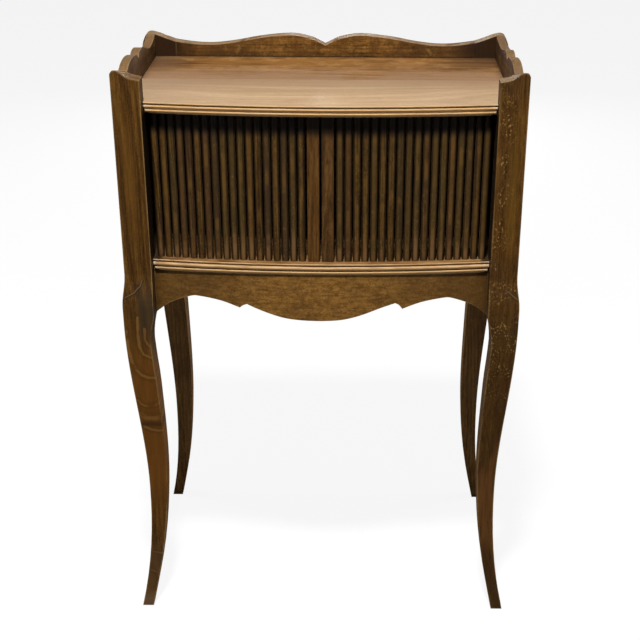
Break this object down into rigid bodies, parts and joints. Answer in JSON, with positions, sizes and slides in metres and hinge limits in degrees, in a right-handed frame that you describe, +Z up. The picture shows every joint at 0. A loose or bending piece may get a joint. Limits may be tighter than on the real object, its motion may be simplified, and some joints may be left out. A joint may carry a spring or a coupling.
{
  "type": "bedside table with tambour doors",
  "caption": "Small bedside table on cabriole legs, with a bowed front closed by a pair of tambour doors and a scalloped gallery round the top.",
  "frame": {"origin": "on the floor under the middle of the table", "axes": "+Z up, +X to the right seen from the front, front of the table towards -Y"},
  "size_m": [0.4642, 0.2762, 0.6979],
  "materials": {
    "walnut": "satin",
    "walnut_top": "satin",
    "bare_wood": "matte"
  },
  "bodies": {
    "cabinet": {"front_leg_left": "walnut", "front_leg_right": "walnut", "back_leg_left": "walnut", "back_leg_right": "walnut", "top_front_board": "walnut_top", "top_rear_board": "walnut_top", "floor_board": "walnut_top", "side_panel_left": "walnut", "side_panel_right": "walnut", "back_gallery": "walnut", "back_panel": "bare_wood", "front_apron": "walnut", "floor_bearer_left": "bare_wood", "floor_bearer_right": "bare_wood", "floor_bearer_back": "bare_wood", "top_cleat_left": "bare_wood", "top_cleat_right": "bare_wood", "glue_blocks": "bare_wood"},
    "door_left": {"lead_stile_left": "walnut"},
    "reed_left_01": {"reed_left_01": "walnut"},
    "reed_left_02": {"reed_left_02": "walnut"},
    "reed_left_03": {"reed_left_03": "walnut"},
    "reed_left_04": {"reed_left_04": "walnut"},
    "reed_left_05": {"reed_left_05": "walnut"},
    "reed_left_06": {"reed_left_06": "walnut"},
    "reed_left_07": {"reed_left_07": "walnut"},
    "reed_left_08": {"reed_left_08": "walnut"},
    "reed_left_09": {"reed_left_09": "walnut"},
    "reed_left_10": {"reed_left_10": "walnut"},
    "reed_left_11": {"reed_left_11": "walnut"},
    "reed_left_12": {"reed_left_12": "walnut"},
    "reed_left_13": {"reed_left_13": "walnut"},
    "reed_left_14": {"reed_left_14": "walnut"},
    "reed_left_15": {"reed_left_15": "walnut"},
    "reed_left_16": {"reed_left_16": "walnut"},
    "reed_left_17": {"reed_left_17": "walnut"},
    "reed_left_18": {"reed_left_18": "walnut"},
    "door_right": {"lead_stile_right": "walnut"},
    "reed_right_01": {"reed_right_01": "walnut"},
    "reed_right_02": {"reed_right_02": "walnut"},
    "reed_right_03": {"reed_right_03": "walnut"},
    "reed_right_04": {"reed_right_04": "walnut"},
    "reed_right_05": {"reed_right_05": "walnut"},
    "reed_right_06": {"reed_right_06": "walnut"},
    "reed_right_07": {"reed_right_07": "walnut"},
    "reed_right_08": {"reed_right_08": "walnut"},
    "reed_right_09": {"reed_right_09": "walnut"},
    "reed_right_10": {"reed_right_10": "walnut"},
    "reed_right_11": {"reed_right_11": "walnut"},
    "reed_right_12": {"reed_right_12": "walnut"},
    "reed_right_13": {"reed_right_13": "walnut"},
    "reed_right_14": {"reed_right_14": "walnut"},
    "reed_right_15": {"reed_right_15": "walnut"},
    "reed_right_16": {"reed_right_16": "walnut"},
    "reed_right_17": {"reed_right_17": "walnut"},
    "reed_right_18": {"reed_right_18": "walnut"}
  },
  "joints": [
    {"name": "door_left_track", "type": "hinge", "parent": "cabinet", "child": "door_left", "pos_m": [0, 1.2625, 0.56775], "axis": [0, 0, -1], "range_deg": [0, 7.28]},
    {"name": "reed_left_01_run", "type": "slide", "parent": "cabinet", "child": "reed_left_01", "axis": [-0.9887, 0.1499, 0], "range_m": [0, 0.16901]},
    {"name": "reed_left_02_run", "type": "slide", "parent": "cabinet", "child": "reed_left_02", "axis": [-0.9764, 0.2158, 0], "range_m": [0, 0.16125]},
    {"name": "reed_left_03_run", "type": "slide", "parent": "cabinet", "child": "reed_left_03", "axis": [-0.9581, 0.2865, 0], "range_m": [0, 0.15427]},
    {"name": "reed_left_04_run", "type": "slide", "parent": "cabinet", "child": "reed_left_04", "axis": [-0.9324, 0.3613, 0], "range_m": [0, 0.14816]},
    {"name": "reed_left_05_run", "type": "slide", "parent": "cabinet", "child": "reed_left_05", "axis": [-0.8985, 0.4391, 0], "range_m": [0, 0.14302]},
    {"name": "reed_left_06_run", "type": "slide", "parent": "cabinet", "child": "reed_left_06", "axis": [-0.8553, 0.5181, 0], "range_m": [0, 0.13895]},
    {"name": "reed_left_07_run", "type": "slide", "parent": "cabinet", "child": "reed_left_07", "axis": [-0.8027, 0.5963, 0], "range_m": [0, 0.13603]},
    {"name": "reed_left_08_run", "type": "slide", "parent": "cabinet", "child": "reed_left_08", "axis": [-0.7411, 0.6714, 0], "range_m": [0, 0.13432]},
    {"name": "reed_left_09_run", "type": "slide", "parent": "cabinet", "child": "reed_left_09", "axis": [-0.6716, 0.7409, 0], "range_m": [0, 0.13386]},
    {"name": "reed_left_10_run", "type": "slide", "parent": "cabinet", "child": "reed_left_10", "axis": [-0.5961, 0.8029, 0], "range_m": [0, 0.13463]},
    {"name": "reed_left_11_run", "type": "slide", "parent": "cabinet", "child": "reed_left_11", "axis": [-0.5168, 0.8561, 0], "range_m": [0, 0.13661]},
    {"name": "reed_left_12_run", "type": "slide", "parent": "cabinet", "child": "reed_left_12", "axis": [-0.4362, 0.8999, 0], "range_m": [0, 0.13974]},
    {"name": "reed_left_13_run", "type": "slide", "parent": "cabinet", "child": "reed_left_13", "axis": [-0.3564, 0.9343, 0], "range_m": [0, 0.14392]},
    {"name": "reed_left_14_run", "type": "slide", "parent": "cabinet", "child": "reed_left_14", "axis": [-0.2794, 0.9602, 0], "range_m": [0, 0.14906]},
    {"name": "reed_left_15_run", "type": "slide", "parent": "cabinet", "child": "reed_left_15", "axis": [-0.2064, 0.9785, 0], "range_m": [0, 0.15504]},
    {"name": "reed_left_16_run", "type": "slide", "parent": "cabinet", "child": "reed_left_16", "axis": [-0.1382, 0.9904, 0], "range_m": [0, 0.16177]},
    {"name": "reed_left_17_run", "type": "slide", "parent": "cabinet", "child": "reed_left_17", "axis": [-0.0751, 0.9972, 0], "range_m": [0, 0.16914]},
    {"name": "reed_left_18_run", "type": "slide", "parent": "cabinet", "child": "reed_left_18", "axis": [-0.0172, 0.9999, 0], "range_m": [0, 0.17707]},
    {"name": "door_right_track", "type": "hinge", "parent": "cabinet", "child": "door_right", "pos_m": [0, 1.2625, 0.56775], "axis": [0, 0, 1], "range_deg": [0, 7.28]},
    {"name": "reed_right_01_run", "type": "slide", "parent": "cabinet", "child": "reed_right_01", "axis": [0.9887, 0.1499, 0], "range_m": [0, 0.16901]},
    {"name": "reed_right_02_run", "type": "slide", "parent": "cabinet", "child": "reed_right_02", "axis": [0.9764, 0.2158, 0], "range_m": [0, 0.16125]},
    {"name": "reed_right_03_run", "type": "slide", "parent": "cabinet", "child": "reed_right_03", "axis": [0.9581, 0.2865, 0], "range_m": [0, 0.15427]},
    {"name": "reed_right_04_run", "type": "slide", "parent": "cabinet", "child": "reed_right_04", "axis": [0.9324, 0.3613, 0], "range_m": [0, 0.14816]},
    {"name": "reed_right_05_run", "type": "slide", "parent": "cabinet", "child": "reed_right_05", "axis": [0.8985, 0.4391, 0], "range_m": [0, 0.14302]},
    {"name": "reed_right_06_run", "type": "slide", "parent": "cabinet", "child": "reed_right_06", "axis": [0.8553, 0.5181, 0], "range_m": [0, 0.13895]},
    {"name": "reed_right_07_run", "type": "slide", "parent": "cabinet", "child": "reed_right_07", "axis": [0.8027, 0.5963, 0], "range_m": [0, 0.13603]},
    {"name": "reed_right_08_run", "type": "slide", "parent": "cabinet", "child": "reed_right_08", "axis": [0.7411, 0.6714, 0], "range_m": [0, 0.13432]},
    {"name": "reed_right_09_run", "type": "slide", "parent": "cabinet", "child": "reed_right_09", "axis": [0.6716, 0.7409, 0], "range_m": [0, 0.13386]},
    {"name": "reed_right_10_run", "type": "slide", "parent": "cabinet", "child": "reed_right_10", "axis": [0.5961, 0.8029, 0], "range_m": [0, 0.13463]},
    {"name": "reed_right_11_run", "type": "slide", "parent": "cabinet", "child": "reed_right_11", "axis": [0.5168, 0.8561, 0], "range_m": [0, 0.13661]},
    {"name": "reed_right_12_run", "type": "slide", "parent": "cabinet", "child": "reed_right_12", "axis": [0.4362, 0.8999, 0], "range_m": [0, 0.13974]},
    {"name": "reed_right_13_run", "type": "slide", "parent": "cabinet", "child": "reed_right_13", "axis": [0.3564, 0.9343, 0], "range_m": [0, 0.14392]},
    {"name": "reed_right_14_run", "type": "slide", "parent": "cabinet", "child": "reed_right_14", "axis": [0.2794, 0.9602, 0], "range_m": [0, 0.14906]},
    {"name": "reed_right_15_run", "type": "slide", "parent": "cabinet", "child": "reed_right_15", "axis": [0.2064, 0.9785, 0], "range_m": [0, 0.15504]},
    {"name": "reed_right_16_run", "type": "slide", "parent": "cabinet", "child": "reed_right_16", "axis": [0.1382, 0.9904, 0], "range_m": [0, 0.16177]},
    {"name": "reed_right_17_run", "type": "slide", "parent": "cabinet", "child": "reed_right_17", "axis": [0.0751, 0.9972, 0], "range_m": [0, 0.16914]},
    {"name": "reed_right_18_run", "type": "slide", "parent": "cabinet", "child": "reed_right_18", "axis": [0.0172, 0.9999, 0], "range_m": [0, 0.17707]}
  ],
  "couplings": [
    {"joint": "reed_left_01_run", "follows": "door_left_track", "m_per_rad": 1.3296},
    {"joint": "reed_left_02_run", "follows": "door_left_track", "m_per_rad": 1.2686},
    {"joint": "reed_left_03_run", "follows": "door_left_track", "m_per_rad": 1.2136},
    {"joint": "reed_left_04_run", "follows": "door_left_track", "m_per_rad": 1.1656},
    {"joint": "reed_left_05_run", "follows": "door_left_track", "m_per_rad": 1.1252},
    {"joint": "reed_left_06_run", "follows": "door_left_track", "m_per_rad": 1.0932},
    {"joint": "reed_left_07_run", "follows": "door_left_track", "m_per_rad": 1.0702},
    {"joint": "reed_left_08_run", "follows": "door_left_track", "m_per_rad": 1.0567},
    {"joint": "reed_left_09_run", "follows": "door_left_track", "m_per_rad": 1.0531},
    {"joint": "reed_left_10_run", "follows": "door_left_track", "m_per_rad": 1.0592},
    {"joint": "reed_left_11_run", "follows": "door_left_track", "m_per_rad": 1.0748},
    {"joint": "reed_left_12_run", "follows": "door_left_track", "m_per_rad": 1.0993},
    {"joint": "reed_left_13_run", "follows": "door_left_track", "m_per_rad": 1.1322},
    {"joint": "reed_left_14_run", "follows": "door_left_track", "m_per_rad": 1.1726},
    {"joint": "reed_left_15_run", "follows": "door_left_track", "m_per_rad": 1.2197},
    {"joint": "reed_left_16_run", "follows": "door_left_track", "m_per_rad": 1.2727},
    {"joint": "reed_left_17_run", "follows": "door_left_track", "m_per_rad": 1.3307},
    {"joint": "reed_left_18_run", "follows": "door_left_track", "m_per_rad": 1.393},
    {"joint": "reed_right_01_run", "follows": "door_right_track", "m_per_rad": 1.3296},
    {"joint": "reed_right_02_run", "follows": "door_right_track", "m_per_rad": 1.2686},
    {"joint": "reed_right_03_run", "follows": "door_right_track", "m_per_rad": 1.2136},
    {"joint": "reed_right_04_run", "follows": "door_right_track", "m_per_rad": 1.1656},
    {"joint": "reed_right_05_run", "follows": "door_right_track", "m_per_rad": 1.1252},
    {"joint": "reed_right_06_run", "follows": "door_right_track", "m_per_rad": 1.0932},
    {"joint": "reed_right_07_run", "follows": "door_right_track", "m_per_rad": 1.0702},
    {"joint": "reed_right_08_run", "follows": "door_right_track", "m_per_rad": 1.0567},
    {"joint": "reed_right_09_run", "follows": "door_right_track", "m_per_rad": 1.0531},
    {"joint": "reed_right_10_run", "follows": "door_right_track", "m_per_rad": 1.0592},
    {"joint": "reed_right_11_run", "follows": "door_right_track", "m_per_rad": 1.0748},
    {"joint": "reed_right_12_run", "follows": "door_right_track", "m_per_rad": 1.0993},
    {"joint": "reed_right_13_run", "follows": "door_right_track", "m_per_rad": 1.1322},
    {"joint": "reed_right_14_run", "follows": "door_right_track", "m_per_rad": 1.1726},
    {"joint": "reed_right_15_run", "follows": "door_right_track", "m_per_rad": 1.2197},
    {"joint": "reed_right_16_run", "follows": "door_right_track", "m_per_rad": 1.2727},
    {"joint": "reed_right_17_run", "follows": "door_right_track", "m_per_rad": 1.3307},
    {"joint": "reed_right_18_run", "follows": "door_right_track", "m_per_rad": 1.393}
  ]
}
